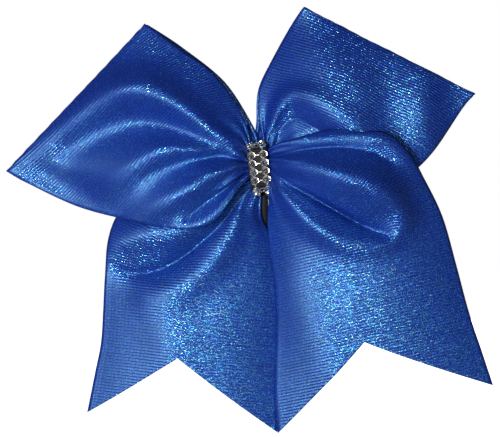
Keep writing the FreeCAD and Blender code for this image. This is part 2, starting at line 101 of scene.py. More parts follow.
def new_piece(name, mesh_maker, material, body=None, smooth=True):
    bm = bmesh.new()
    mesh_maker(bm)
    mesh = bpy.data.meshes.new(name)
    bm.to_mesh(mesh)
    bm.free()
    for polygon in mesh.polygons:
        polygon.use_smooth = smooth
    mesh.materials.append(material)
    piece = bpy.data.objects.new(name, mesh)
    bpy.context.scene.collection.objects.link(piece)
    if body:
        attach(piece, body)
    return piece


def spline(points, where):
    """A point on the smooth line through the points: where is 0 at the first and 1 for each span."""
    last = len(points) - 1
    span = min(int(where), last - 1)
    t = where - span
    p1, p2 = points[span], points[span + 1]
    p0 = points[span - 1] if span > 0 else p1 * 2 - p2
    p3 = points[span + 2] if span + 2 <= last else p2 * 2 - p1
    return ((p1 * 2) + (p2 - p0) * t + (p0 * 2 - p1 * 5 + p2 * 4 - p3) * t ** 2
            + (p1 * 3 - p0 - p2 * 3 + p3) * t ** 3) * 0.5


# ---------------------------------------------------------------- folds pressed into the ribbon

WIDEST_CREASE = 4.5
CREASE_FALL = 1.3
FOLD_REACH = 2.6
SAMPLES_PER_FOLD_SPAN = 5

# small gathers that fade away from the knot
GATHERS = 7
GATHER_HEIGHT = 1.1
GATHER_REACH = 15.0


class Fold:
    """A ridge, or a valley if its height is negative, along a smooth line seen from the front.
    Each of its points is x, z, height and half width, in millimetres. A narrow valley is a crease,
    which is sharp at its bottom."""

    def __init__(self, *points):
        line = [Vector(p) for p in points]
        count = (len(line) - 1) * SAMPLES_PER_FOLD_SPAN
        self.line = [spline(line, (len(line) - 1) * i / count) for i in range(count + 1)]
        widest = max(p[3] for p in points)
        self.crease = widest < WIDEST_CREASE and all(p[2] < 0 for p in points)
        reach = FOLD_REACH * widest
        self.low = Vector((min(p[0] for p in points) - reach, min(p[1] for p in points) - reach))
        self.high = Vector((max(p[0] for p in points) + reach, max(p[1] for p in points) + reach))

    def height(self, x, z):
        if not (self.low.x < x < self.high.x and self.low.y < z < self.high.y):
            return 0.0
        best = None
        for a, b in zip(self.line, self.line[1:]):
            dx, dz = b.x - a.x, b.y - a.y
            share = ((x - a.x) * dx + (z - a.y) * dz) / max(dx * dx + dz * dz, 1e-9)
            share = min(max(share, 0.0), 1.0)
            away = (x - a.x - dx * share) ** 2 + (z - a.y - dz * share) ** 2
            if best is None or away < best[0]:
                best = (away, a.lerp(b, share))
        away, place = best
        if self.crease:
            return place.z * math.exp(-CREASE_FALL * math.sqrt(away) / place.w)
        return place.z * math.exp(-away / place.w ** 2)


# ---------------------------------------------------------------- forming a flat ribbon

def column_path(stations, share, folds):
    """The way that one thread along the ribbon goes, as close points with the length run so far."""
    places = []
    for upper, lower, bulge in stations:
        place = Vector(upper).lerp(Vector(lower), share)
        place.y -= bulge * 4 * share * (1 - share)
        places.append(place)
    count = (len(places) - 1) * SAMPLES_PER_SPAN
    path = [spline(places, (len(places) - 1) * i / count) for i in range(count + 1)]
    for point in path:
        away = math.hypot(point.x, point.z)
        fade = GATHER_HEIGHT * math.exp(-(away / GATHER_REACH) ** 2)
        gather = fade * math.sin(2 * math.pi * GATHERS * share)
        point.y -= gather + sum(fold.height(point.x, point.z) for fold in folds)
    return path


def run_lengths(path):
    lengths = [0.0]
    for a, b in zip(path, path[1:]):
        lengths.append(lengths[-1] + (b - a).length)
    return lengths


class Thread:
    """A way through space that can be asked for the point at a length along it. Past its far end
    it goes straight on into the knot."""

    def __init__(self, path, inward):
        self.path, self.inward = path, inward
        self.lengths = run_lengths(path)
        self.index = 0

    def point(self, run):
        last = len(self.path) - 1
        if run >= self.lengths[-1]:
            return self.path[-1] + self.inward * (run - self.lengths[-1])
        while self.index < last - 1 and self.lengths[self.index + 1] < run:
            self.index += 1
        while self.index > 0 and self.lengths[self.index] > run:
            self.index -= 1
        a, b = self.path[self.index], self.path[self.index + 1]
        span = self.lengths[self.index + 1] - self.lengths[self.index]
        return a.lerp(b, (run - self.lengths[self.index]) / max(span, 1e-9))


def flat_ribbon(bm, low, high, width=WIDTH, columns=COLUMNS):
    """A flat piece of ribbon: x runs across it and y along it, four rows of threads to a rib."""
    rows = round((high - low) / RIB_PITCH * ROWS_PER_RIB)
    length = rows * RIB_PITCH / ROWS_PER_RIB
    bmesh.ops.create_grid(bm, x_segments=columns, y_segments=rows, size=0.5)
    bmesh.ops.scale(bm, vec=(width, length, 1), verts=bm.verts)
    bmesh.ops.translate(bm, vec=(width / 2, low + length / 2, 0), verts=bm.verts)


def cut_notch(bm, apex_x, depth):
    """Cuts a V from both corners of the end at y 0 to a point on it."""
    for corner_x in (0.0, WIDTH):
        side = 1 if corner_x > apex_x else -1
        near = [f for f in bm.faces
                if (f.calc_center_median().x - apex_x) * side > -WIDTH / COLUMNS
                and f.calc_center_median().y < depth + RIB_PITCH]
        geometry = set(near)
        for face in near:
            geometry.update(face.edges)
            geometry.update(face.verts)
        along = Vector((corner_x - apex_x, -depth, 0))
        across = Vector((-along.y, along.x, 0))
        bmesh.ops.bisect_plane(bm, geom=list(geometry), dist=1e-4, plane_co=(apex_x, depth, 0),
                               plane_no=across)
    doomed = []
    for face in bm.faces:
        centre = face.calc_center_median()
        reach = apex_x if centre.x < apex_x else WIDTH - apex_x
        if centre.y < depth * (1 - abs(centre.x - apex_x) / reach):
            doomed.append(face)
    bmesh.ops.delete(bm, geom=doomed, context="FACES")


def weave(bm, shape, width=WIDTH, selvage=SELVAGE):
    """Marks ribs and selvages on the flat ribbon, notes its flat place, then bends it to shape."""
    ribs = bm.verts.layers.deform.verify()
    flat = bm.verts.layers.float_vector.new("flat")
    for vert in bm.verts:
        x, y = vert.co.x, vert.co.y
        wave = 0.5 + 0.5 * math.cos(2 * math.pi * y / RIB_PITCH)
        inset = min(x, width - x)
        if inset < selvage:
            wave = FLAT_SELVAGE
        vert[ribs][0] = RIB_VALLEY + (1 - RIB_VALLEY) * wave
        vert[flat] = (x, y, 0)
    columns = {}
    for vert in bm.verts:
        columns.setdefault(round(vert.co.x, 4), []).append(vert)
    for x, verts in columns.items():
        verts.sort(key=lambda v: v.co.y)
        place = shape(x / width)
        for vert in verts:
            vert.co = at(*place(vert.co.y))


def map_pattern(bm):
    """Maps each face to its place on the flat ribbon."""
    flat = bm.verts.layers.float_vector["flat"]
    pattern = bm.loops.layers.uv.new("pattern")
    for face in bm.faces:
        for loop in face.loops:
            place = loop.vert[flat]
            loop[pattern].uv = (place.x / WIDTH, place.y / WIDTH)


def finish_ribbon(bm, cut_x, keep_left):
    """Trims the ribbon inside the knot and gives it a map of its flat pattern."""
    beside = [f for f in bm.faces if abs(f.calc_center_median().z - KNOT.z) < KNOT_REACH * MM]
    geometry = set(beside)
    for face in beside:
        geometry.update(face.edges)
        geometry.update(face.verts)
    bmesh.ops.bisect_plane(bm, geom=list(geometry), dist=1e-7, plane_co=at(cut_x, 0, 0),
                           plane_no=(1 if keep_left else -1, 0, 0), clear_outer=True)
    map_pattern(bm)


def thicken(piece, thickness=THICKNESS):
    group = piece.vertex_groups.new(name="rib")
    solid = piece.modifiers.new("thickness", "SOLIDIFY")
    solid.thickness = thickness * MM
    solid.offset = 0
    solid.vertex_group = group.name
    solid.thickness_vertex_group = 0.0
    solid.use_rim = True
    solid.use_even_offset = False
    return piece


def make_tail(name, stations, folds, notch, length, side_x, material):
    """A tail is measured from its cut end at 0 up to the knot."""

    def maker(bm):
        flat_ribbon(bm, 0, length)
        cut_notch(bm, notch[0] * WIDTH, notch[1])

        def shape(share):
            path = column_path(stations, share, folds)
            path.reverse()
            return Thread(path, Vector((side_x, 0, 0))).point

        weave(bm, shape)
        finish_ribbon(bm, CUT_X * -side_x, side_x > 0)

    return thicken(new_piece(name, maker, material))


def make_loop(name, front, back, folds, back_folds, slant, length, side_x, material):
    """A loop is measured from its creased end: up to the knot in front, and the same way behind."""

    def maker(bm):
        flat_ribbon(bm, -length, length)

        def shape(share):
            crease = slant * (share - 0.5) * WIDTH
            near = column_path(front, share, folds)
            far = column_path(back, share, back_folds)
            near.reverse()
            far.reverse()
            middle = (near[0] + far[0]) / 2
            outward = (near[0] - near[2]).normalized()
            outward.y = 0
            tip = middle + outward * CREASE
            near.insert(0, tip)
            far.insert(0, tip)
            inward = Vector((side_x, 0, 0))
            near_thread, far_thread = Thread(near, inward), Thread(far, inward)

            def point(y):
                run = y - crease
                return near_thread.point(run) if run >= 0 else far_thread.point(-run)

            return point

        weave(bm, shape)
        finish_ribbon(bm, CUT_X * -side_x, side_x > 0)

    return thicken(new_piece(name, maker, material))


# ---------------------------------------------------------------- the ribbon's stations and folds
#
# A station gives the two selvages, each right, back and up from the knot's centre, and how far the
# middle stands forward. Stations run from the knot outwards.

LEFT_LOOP_FRONT = [
    ((-3.0, -1.5, 6.4), (-3.0, -2.6, -3.2), 0.0),
    ((-3.8, -1.6, 12.5), (-6.6, -5.0, -6.4), 1.0),
    ((-6.0, -1.6, 19.0), (-10.2, -7.4, -11.6), 3.0),
    ((-11.0, -1.2, 26.6), (-17.2, -8.5, -19.8), 5.0),
    ((-18.0, -0.4, 34.8), (-30.0, -9.0, -21.3), 7.0),
    ((-27.6, 1.2, 41.6), (-46.5, -6.4, -18.0), 7.5),
    ((-34.5, 2.6, 47.0), (-64.0, -1.6, -13.3), 7.0),
    ((-38.4, 3.6, 49.6), (-81.0, 1.2, -5.4), 2.6),
    ((-39.6, 4.0, 50.4), (-88.0, 1.4, -1.5), 0.0),
]
LEFT_LOOP_BACK = [
    ((-3.0, 0.6, 7.2), (-3.0, 0.4, -6.2), 0.0),
    ((-0.6, 1.4, 9.4), (-6.0, 0.0, -7.2), 0.2),
    ((-2.6, 1.8, 15.5), (-12.0, -0.6, -9.4), 0.4),
    ((-12.0, 3.4, 30.2), (-30.0, -3.0, -16.5), 0.6),
    ((-26.6, 4.6, 42.2), (-57.0, 0.6, -13.5), 0.6),
    ((-37.9, 5.0, 49.7), (-80.0, 2.4, -5.1), 0.3),
    ((-39.6, 4.9, 50.4), (-88.0, 2.3, -1.5), 0.0),
]
LEFT_LOOP_FOLDS = [
    Fold((-18, 9.5, -1.5, 3), (-28, 14.5, -3.5, 4.6), (-40, 16, -5, 6), (-53, 12.5, -4.5, 6.5),
         (-65, 6.5, -2.5, 6)),
    Fold((-50, -12, -1, 6), (-62, -8, -2.5, 6), (-74, -3, -2, 5)),
    Fold((-86, -1.8, 0.6, 4), (-75, 8.1, 2.5, 5), (-64.4, 16.8, 5, 6), (-55.5, 23.8, 6.5, 6.5),
         (-49.4, 26.8, 7.5, 6.5), (-42, 27.6, 7.5, 7), (-34.7, 25.2, 7, 6.5), (-27, 20.5, 6, 5.6),
         (-17.5, 13.4, 4, 4.5), (-9.8, 7.8, 2.2, 2.5), (-4.9, 4.3, 0.8, 1.2)),
    Fold((-17, 5.4, 0.8, 1.6), (-23.9, 6.2, 2, 2.5), (-29.7, 6.4, 3, 3.2), (-35.5, 5, 3.2, 4),
         (-41.3, 1.9, 3, 4.5), (-46.5, -1.7, 2.6, 5), (-52.8, -6.3, 2, 5.5), (-59, -10.2, 0.8, 6)),
    Fold((-4.2, 3, -0.8, 1), (-9.4, 3.4, -2.2, 1.4), (-14, 4.2, -3.4, 1.8), (-21, 2.8, -3.4, 2.4),
         (-27, 1, -3, 3.2), (-34, -2, -2.2, 4), (-42, -7.5, -0.8, 5)),
    Fold((-4.2, 1.2, 1, 1.2), (-9.4, 0.1, 2.2, 1.8), (-15.2, -2.4, 3.2, 2.6), (-21, -5.8, 3.6, 3.4),
         (-26.8, -9.2, 3.6, 4), (-32.6, -12.3, 3.2, 4.4), (-38.4, -15.6, 2.6, 4.8), (-41.5, -17.9, 2, 5)),
    Fold((-4.4, -1.6, -1, 1), (-9.4, -5.6, -2, 1.6), (-15.2, -9.9, -2.6, 2.4), (-21, -14, -2.6, 3),
         (-25, -18, -2, 3.4)),
    Fold((-3.8, -3, 1.2, 1), (-7.1, -7, 2, 1.4), (-11, -12.1, 2.8, 2), (-15.6, -16.9, 3, 2.6),
         (-21.5, -20, 2.6, 3), (-27, -21, 1.6, 3.4)),
]
RIGHT_LOOP_FRONT = [
    ((2.6, -0.2, 6.3), (3.0, 0.2, -4.0), 0.0),
    ((1.2, 0.4, 12.0), (10.0, 0.4, -3.0), 0.3),
    ((-0.1, 1.0, 19.0), (20.0, 0.4, -5.0), 1.4),
    ((0.2, 1.8, 27.0), (31.0, 0.2, -6.5), 4.5),
    ((2.5, 2.6, 33.6), (42.0, 0.0, -6.0), 7.5),
    ((6.8, 4.0, 42.0), (52.0, 0.0, -2.5), 11.0),
    ((11.0, 4.8, 49.5), (60.6, 1.0, 5.4), 9.5),
    ((14.4, 4.5, 54.9), (71.5, 3.0, 21.0), 2.6),
    ((15.4, 4.3, 56.2), (75.6, 3.8, 25.6), 0.0),
]
RIGHT_LOOP_BACK = [
    ((2.8, 2.3, 7.2), (2.8, 2.3, -6.2), 0.0),
    ((-0.9, 2.7, 10.4), (8.0, 2.5, -6.2), 0.1),
    ((-0.8, 3.2, 16.5), (16.0, 2.8, -6.4), 0.3),
    ((0.0, 4.4, 28.5), (33.0, 3.2, -7.5), 0.4),
    ((7.4, 5.2, 42.9), (54.0, 3.8, -0.5), 0.4),
    ((14.2, 5.4, 54.6), (70.8, 4.6, 20.3), 0.2),
    ((15.4, 5.1, 56.2), (75.6, 4.7, 25.6), 0.0),
]
LEFT_BACK_FOLDS = [
    Fold((-5, 4, 0.8, 1), (-16, 10, 2.2, 2.5), (-30, 18, 3, 4), (-48, 26, 2, 6)),
    Fold((-5, -1, 0.8, 1), (-18, -2, 2.2, 2.5), (-34, -1, 3, 4), (-56, 2, 2, 6)),
    Fold((-5, 1.5, -0.8, 1), (-16, 4, -2, 2.2), (-32, 8, -2.4, 3.5), (-50, 14, -1.5, 4)),
]
RIGHT_BACK_FOLDS = [
    Fold((5, 3.5, 0.8, 1), (14, 10, 2.2, 2.5), (24, 18, 3, 4), (38, 28, 2, 6)),
    Fold((5, -1, 0.8, 1), (18, 1, 2.2, 2.5), (34, 5, 3, 4), (54, 14, 2, 6)),
    Fold((5, 1, -0.8, 1), (15, 5, -2, 2.2), (30, 12, -2.4, 3.5), (46, 22, -1.5, 4)),
]
RIGHT_LOOP_FOLDS = [
    Fold((3.4, 7.6, 0.8, 1), (4.2, 11.7, 1.4, 1.3), (5.3, 16.5, 2.2, 1.8), (6.7, 20.2, 2.8, 2.4),
         (9, 23.6, 3.4, 3.2), (12, 25.4, 3.8, 4), (16.2, 24.6, 3.8, 4.4), (21.5, 21.4, 3.4, 4.8),
         (27, 17.6, 2.8, 5.2), (33, 13.5, 2, 5.6), (40, 8.5, 1, 6)),
    Fold((4.6, 6.8, -0.8, 1), (6.6, 11, -1.6, 1.6), (9.4, 15.5, -2.4, 2.4), (13.5, 17.2, -2.8, 3.2),
         (20, 13.6, -2.4, 3.8), (27, 9, -1.4, 4.4)),
    Fold((56, 38, 1.4, 7.5), (57, 31, 2.2, 7.5), (57.6, 24, 2.8, 7.5), (58.4, 16, 3, 7.5),
         (59.6, 8, 2.6, 7), (61, 2, 1.5, 7)),
    Fold((42, 32, -0.6, 7), (43, 24, -1.2, 7), (44, 15, -1.2, 7), (46, 6, -0.8, 7)),
]
RIGHT_TAIL = [
    ((3.0, -2.4, 6.4), (3.0, -2.8, -5.0), 0.0),
    ((7.0, -5.0, 8.6), (3.4, -3.4, -9.0), 2.0),
    ((14.0, -7.6, 10.4), (3.3, -3.6, -13.5), 5.0),
    ((24.0, -9.4, 12.9), (3.1, -4.0, -18.5), 7.0),
    ((35.0, -10.0, 12.1), (3.4, -4.2, -24.0), 8.5),
    ((43.8, -9.4, 12.0), (4.1, -4.2, -30.0), 9.0),
    ((51.5, -6.6, 6.0), (5.0, -4.2, -36.0), 9.0),
    ((57.3, -3.4, -3.5), (5.8, -4.2, -43.0), 8.5),
    ((64.0, -1.6, -17.0), (6.1, -4.0, -50.5), 8.0),
    ((68.9, -1.2, -34.0), (5.9, -3.8, -60.0), 7.6),
    ((73.2, -1.0, -50.0), (5.5, -3.3, -71.0), 7.0),
    ((77.5, -0.8, -63.0), (5.5, -2.8, -81.0), 6.4),
    ((81.8, -0.6, -76.0), (6.6, -2.0, -92.7), 5.6),
]
RIGHT_TAIL_FOLDS = [
    Fold((4.5, 5.7, 0.8, 1), (7.2, 7.1, 1.2, 1.2), (12.1, 8, 1.6, 1.6), (17.6, 8.9, 2, 1.8),
         (24.5, 10, 2.2, 2), (30.1, 10.8, 2.4, 2.2), (35.6, 10.9, 2.6, 2.6), (41.2, 10.4, 2.6, 2.8),
         (45.6, 8.5, 2.4, 3), (49.8, 5, 2, 3.4), (53.2, 0.9, 1.6, 4), (56, -4, 1.2, 5), (59, -11, 0.5, 6)),
    Fold((4.6, 3.9, -1, 0.9), (10.7, 5.5, -2.4, 1.3), (17.6, 6.6, -3, 1.6), (25.9, 7, -2.8, 1.8),
         (32.8, 6.6, -2.8, 2), (39.8, 5, -2.2, 2.2), (45.3, 2.2, -1.4, 2.6)),
    Fold((5, 2.1, 1.2, 1.4), (10.7, 1, 2.6, 2.4), (17.6, -0.5, 4.2, 3.8), (24.5, -2.3, 6, 5),
         (31.5, -4.3, 7, 6), (38.4, -6.6, 7.5, 6.6), (44.5, -10, 7, 6.6), (49, -15, 4, 5)),
    Fold((4.5, -1.7, -1.6, 1), (10.7, -5.9, -4.2, 1.5), (17.6, -9.9, -6.4, 2), (24.5, -13.8, -7, 2.2),
         (31.5, -17.8, -6.6, 2.2), (38.4, -21.2, -5, 2.2), (44.5, -23.2, -2.5, 2.2)),
    Fold((5.4, -3.6, 1, 1.2), (7.2, -7.2, 1.8, 1.8), (10.9, -12.6, 2.4, 2.6), (15.2, -17.4, 3, 3.2),
         (20.8, -21.8, 3.2, 3.6), (27, -25.2, 3, 4), (33.2, -27, 2.6, 4.2), (40, -27.2, 2.4, 4),
         (46, -25.2, 2, 3.6), (50, -21, 1.2, 3.4)),
    Fold((10, -38, 0.6, 8), (18, -54, 1.2, 9), (26, -72, 1, 9)),
]
LEFT_TAIL = [
    ((-3.0, 2.2, 5.0), (-3.0, 2.4, -6.0), 0.0),
    ((-9.0, 2.0, 5.0), (0.4, 2.8, -9.5), 0.5),
    ((-19.0, 1.2, 4.0), (0.5, 2.8, -13.5), 2.0),
    ((-31.0, 0.4, 1.5), (1.0, 2.4, -18.0), 4.0),
    ((-42.0, -0.6, -5.5), (3.2, 1.8, -22.5), 5.5),
    ((-49.5, -1.6, -16.5), (4.6, 1.2, -28.5), 6.0),
    ((-52.7, -2.0, -26.0), (5.6, 0.8, -35.0), 5.6),
    ((-53.8, -2.0, -38.0), (6.4, 0.6, -43.0), 5.6),
    ((-54.4, -2.0, -50.3), (6.8, 0.4, -54.0), 6.0),
    ((-55.2, -1.8, -61.4), (6.6, 0.2, -66.0), 6.0),
    ((-57.2, -1.5, -71.5), (6.2, 0.0, -77.0), 5.6),
    ((-60.0, -1.0, -85.4), (6.4, 0.0, -92.5), 5.0),
]
LEFT_TAIL_FOLDS = [
    Fold((-14, -14, 1, 3), (-20.7, -19.5, 2.2, 4), (-30.3, -22.5, 3.6, 5.5), (-40, -23, 4, 6),
         (-48.4, -25, 3.4, 6), (-52, -30, 1.6, 5)),
    Fold((-6.5, -11, -1.2, 1.8), (-14.1, -20.3, -3.2, 2.6), (-20.7, -26.4, -4.8, 3.2),
         (-27, -31.4, -5.6, 3.8), (-33.5, -35, -5.2, 4), (-40, -36.8, -4.4, 4.2), (-46.5, -36.4, -3, 4.2),
         (-51, -33.5, -1.2, 4)),
    Fold((-4, -13, 0.8, 3), (-9, -22, 1.4, 4), (-15, -31, 2, 5), (-22, -38, 2.2, 5.5), (-30, -43, 2, 6),
         (-38, -45, 1.4, 6)),
    Fold((-34, -48, 0.8, 8), (-32, -58, 1.2, 8), (-29, -70, 1, 8)),
]


# ---------------------------------------------------------------- shader groups

def link_chain(nodes, links, kind, *inputs, **settings):
    """A new node whose inputs are set in order from values or other nodes' sockets."""
    node = nodes.new(kind)
    for key, value in settings.items():
        setattr(node, key, value)
    for socket, value in enumerate(inputs):
        if value is None:
            continue
        if isinstance(value, bpy.types.NodeSocket):
            links.new(value, node.inputs[socket])
        else:
            node.inputs[socket].default_value = value
    return node


def new_group(name, inputs, outputs):
    group = bpy.data.node_groups.new(name, "ShaderNodeTree")
    for label, kind, value in inputs:
        socket = group.interface.new_socket(name=label, in_out="INPUT", socket_type=kind)
        if value is not None:
            socket.default_value = value
    for label, kind in outputs:
        group.interface.new_socket(name=label, in_out="OUTPUT", socket_type=kind)
    entry = group.nodes.new("NodeGroupInput")
    leave = group.nodes.new("NodeGroupOutput")
    return group, entry, leave


def glitter_group():
    """Small flakes scattered on a surface: a mask, a colour for each flake and a tilted normal."""
    group, entry, leave = new_group(
        "glitter_flakes",
        [("Place", "NodeSocketVector", None), ("Scale", "NodeSocketFloat", 300.0),
         ("Density", "NodeSocketFloat", 0.25), ("Tilt", "NodeSocketFloat", 0.5)],
        [("Mask", "NodeSocketFloat"), ("Colour", "NodeSocketColor"), ("Normal", "NodeSocketVector")])
    nodes, links = group.nodes, group.links
    cells = nodes.new("ShaderNodeTexVoronoi")
    cells.feature = "F1"
    links.new(entry.outputs["Place"], cells.inputs["Vector"])
    links.new(entry.outputs["Scale"], cells.inputs["Scale"])
    split = link_chain(nodes, links, "ShaderNodeSeparateColor", cells.outputs["Color"])
    chosen = link_chain(nodes, links, "ShaderNodeMath", split.outputs["Red"], entry.outputs["Density"],
                        operation="LESS_THAN")
    near = link_chain(nodes, links, "ShaderNodeMath", cells.outputs["Distance"], 0.5, operation="LESS_THAN")
    mask = link_chain(nodes, links, "ShaderNodeMath", chosen.outputs[0], near.outputs[0],
                      operation="MULTIPLY")
    links.new(mask.outputs[0], leave.inputs["Mask"])
    ramp = nodes.new("ShaderNodeValToRGB")
    ramp.color_ramp.interpolation = "CONSTANT"
    tones = [(0.0, (0.07, 0.26, 0.72, 1)), (0.34, (0.06, 0.52, 0.54, 1)), (0.54, (0.18, 0.74, 0.66, 1)),
             (0.72, (0.03, 0.12, 0.70, 1)), (0.92, (0.6, 0.95, 0.85, 1))]
    while len(ramp.color_ramp.elements) < len(tones):
        ramp.color_ramp.elements.new(0.5)
    for element, (place, colour) in zip(ramp.color_ramp.elements, tones):
        element.position, element.color = place, colour
    links.new(split.outputs["Green"], ramp.inputs["Fac"])
    links.new(ramp.outputs["Color"], leave.inputs["Colour"])
    centred = link_chain(nodes, links, "ShaderNodeVectorMath", cells.outputs["Color"], (0.5, 0.5, 0.5),
                         operation="SUBTRACT")
    amount = link_chain(nodes, links, "ShaderNodeMath", mask.outputs[0], entry.outputs["Tilt"],
                        operation="MULTIPLY")
    scaled = nodes.new("ShaderNodeVectorMath")
    scaled.operation = "SCALE"
    links.new(centred.outputs[0], scaled.inputs[0])
    links.new(amount.outputs[0], scaled.inputs["Scale"])
    surface = nodes.new("ShaderNodeNewGeometry")
    tilted = link_chain(nodes, links, "ShaderNodeVectorMath", surface.outputs["Normal"], scaled.outputs[0],
                        operation="ADD")
    unit = link_chain(nodes, links, "ShaderNodeVectorMath", tilted.outputs[0], operation="NORMALIZE")
    links.new(unit.outputs[0], leave.inputs["Normal"])
    return group


GLITTER = glitter_group()
FLAKE_TILT = 0.55
WARP_SCALE = 15.24  # bands about 1.57 mm apart
WARP_WANDER = 0.6
WARP_BUMP = 0.00005


def new_material(name, **settings):
    material = bpy.data.materials.new(name)
    material.use_nodes = True
    shader = material.node_tree.nodes["Principled BSDF"]
    for label, value in settings.items():
        shader.inputs[label.replace("_", " ")].default_value = value
    return material, material.node_tree.nodes, material.node_tree.links, shader


def grosgrain(name, painted_groove_shade, crown, sheen, density, gloss):
    """Grosgrain with soft bands along it, painted shade darkening its colour in the rib grooves, and glitter
    worked into it where density isn't 0.
    """
    material, nodes, links, shader = new_material(name, Specular_IOR_Level=gloss)
    shader.inputs["Specular Tint"].default_value = sheen
    pattern = nodes.new("ShaderNodeUVMap")
    pattern.uv_map = "pattern"
    split = link_chain(nodes, links, "ShaderNodeSeparateXYZ", pattern.outputs["UV"])
    # ribs: a cosine along the ribbon, which mixes the ribbon's own colour on the rib crowns with painted
    # shade in the rib grooves
    turns = 2 * math.pi * WIDTH / RIB_PITCH
    angle = link_chain(nodes, links, "ShaderNodeMath", split.outputs["Y"], turns, operation="MULTIPLY")
    wave = link_chain(nodes, links, "ShaderNodeMath", angle.outputs[0], operation="COSINE")
    rib = link_chain(nodes, links, "ShaderNodeMath", wave.outputs[0], 0.5, 0.5, operation="MULTIPLY_ADD")
    # broad unevenness of the dye
    drift = nodes.new("ShaderNodeTexNoise")
    drift.inputs["Scale"].default_value = 9.0
    drift.inputs["Detail"].default_value = 3.0
    links.new(pattern.outputs["UV"], drift.inputs["Vector"])
    # painted shade: the colour darkens from the crown colour to the groove colour in each rib groove
    shade = nodes.new("ShaderNodeMix")
    shade.data_type = "RGBA"
    shade.inputs["A"].default_value = painted_groove_shade
    shade.inputs["B"].default_value = crown
    links.new(rib.outputs[0], shade.inputs["Factor"])
    uneven = nodes.new("ShaderNodeHueSaturation")
    level = link_chain(nodes, links, "ShaderNodeMath", drift.outputs["Fac"], 0.5, 0.75,
                       operation="MULTIPLY_ADD")
    links.new(level.outputs[0], uneven.inputs["Value"])
    links.new(shade.outputs["Result"], uneven.inputs["Color"])
    # flakes
    flakes = nodes.new("ShaderNodeGroup")
    flakes.node_tree = GLITTER
    links.new(pattern.outputs["UV"], flakes.inputs["Place"])
    flakes.inputs["Scale"].default_value = WIDTH / FLAKE
    flakes.inputs["Density"].default_value = density
    flakes.inputs["Tilt"].default_value = FLAKE_TILT
    paint = nodes.new("ShaderNodeMix")
    paint.data_type = "RGBA"
    links.new(flakes.outputs["Mask"], paint.inputs["Factor"])
    links.new(uneven.outputs["Color"], paint.inputs["A"])
    links.new(flakes.outputs["Colour"], paint.inputs["B"])
    links.new(paint.outputs["Result"], shader.inputs["Base Color"])
    links.new(flakes.outputs["Mask"], shader.inputs["Metallic"])
    rough = link_chain(nodes, links, "ShaderNodeMath", flakes.outputs["Mask"], -0.1, 0.44,
                       operation="MULTIPLY_ADD")
    links.new(rough.outputs[0], shader.inputs["Roughness"])
    # soft bands along the ribbon
    warp = nodes.new("ShaderNodeTexWave")
    warp.bands_direction = "X"
    warp.inputs["Scale"].default_value = WARP_SCALE
    warp.inputs["Distortion"].default_value = WARP_WANDER
    links.new(pattern.outputs["UV"], warp.inputs["Vector"])
    bump = nodes.new("ShaderNodeBump")
    bump.inputs["Strength"].default_value = 0.25
    bump.inputs["Distance"].default_value = WARP_BUMP
    links.new(warp.outputs["Fac"], bump.inputs["Height"])
    links.new(flakes.outputs["Normal"], bump.inputs["Normal"])
    links.new(bump.outputs["Normal"], shader.inputs["Normal"])
    return material


# For each ribbon the first colour is painted shade for the rib grooves, and the second is the ribbon's own
# colour on the rib crowns
BLUE = grosgrain("ribbon_glitter_blue", (0.002, 0.008, 0.100, 1), (0.006, 0.027, 0.280, 1),
                 (0.30, 0.62, 1, 1), 0.30, 0.8)
BLACK = grosgrain("wrap_grosgrain_black", (0.003, 0.003, 0.004, 1), (0.012, 0.012, 0.014, 1),
                  (0.8, 0.8, 0.85, 1), 0.0, 0.2)


def mottled_material(name, dark, light, scale, low_roughness, high_roughness, **settings):
    """A material whose colour and roughness drift over the piece, scale times in a metre."""
    material, nodes, links, shader = new_material(name, **settings)
    place = nodes.new("ShaderNodeTexCoord")
    cloud = nodes.new("ShaderNodeTexNoise")
    cloud.inputs["Scale"].default_value = scale
    cloud.inputs["Detail"].default_value = 4.0
    links.new(place.outputs["Object"], cloud.inputs["Vector"])
    mix = nodes.new("ShaderNodeMix")
    mix.data_type = "RGBA"
    mix.inputs["A"].default_value = dark
    mix.inputs["B"].default_value = light
    links.new(cloud.outputs["Fac"], mix.inputs["Factor"])
    links.new(mix.outputs["Result"], shader.inputs["Base Color"])
    rough = link_chain(nodes, links, "ShaderNodeMath", cloud.outputs["Fac"], high_roughness - low_roughness,
                       low_roughness, operation="MULTIPLY_ADD")
    links.new(rough.outputs[0], shader.inputs["Roughness"])
    return material


SILVER = mottled_material("cup_silver", (0.70, 0.66, 0.60, 1), (0.95, 0.92, 0.87, 1), 900.0, 0.14, 0.32,
                          Metallic=1.0)
FOIL = mottled_material("crystal_foil", (0.80, 0.80, 0.82, 1), (0.95, 0.95, 0.97, 1), 1500.0, 0.05, 0.15,
                        Metallic=1.0)
GLASS = mottled_material("crystal_glass", (0.93, 0.95, 0.97, 1), (1.0, 1.0, 1.0, 1), 300.0, 0.0, 0.02,
                         Transmission_Weight=1.0, IOR=1.56)
STEEL = mottled_material("sleeve_steel", (0.42, 0.42, 0.41, 1), (0.62, 0.61, 0.60, 1), 500.0, 0.22, 0.42,
                         Metallic=1.0)
GLUE = mottled_material("glue_clear", (0.78, 0.74, 0.62, 1), (0.92, 0.90, 0.82, 1), 400.0, 0.15, 0.30,
                        Transmission_Weight=0.6, IOR=1.48)
THREAD = mottled_material("thread_waxed_blue", (0.006, 0.014, 0.07, 1), (0.02, 0.045, 0.20, 1), 2500.0,
                          0.45, 0.6)
BRAID = mottled_material("elastic_braid_black", (0.004, 0.004, 0.005, 1), (0.018, 0.018, 0.022, 1), 2500.0,
                         0.6, 0.8, Specular_IOR_Level=0.15)
BLUE_PLAIN = mottled_material("ribbon_inside_blue", (0.002, 0.012, 0.11, 1), (0.008, 0.035, 0.27, 1), 700.0,
                              0.5, 0.7)

# ---------------------------------------------------------------- the four lengths of ribbon

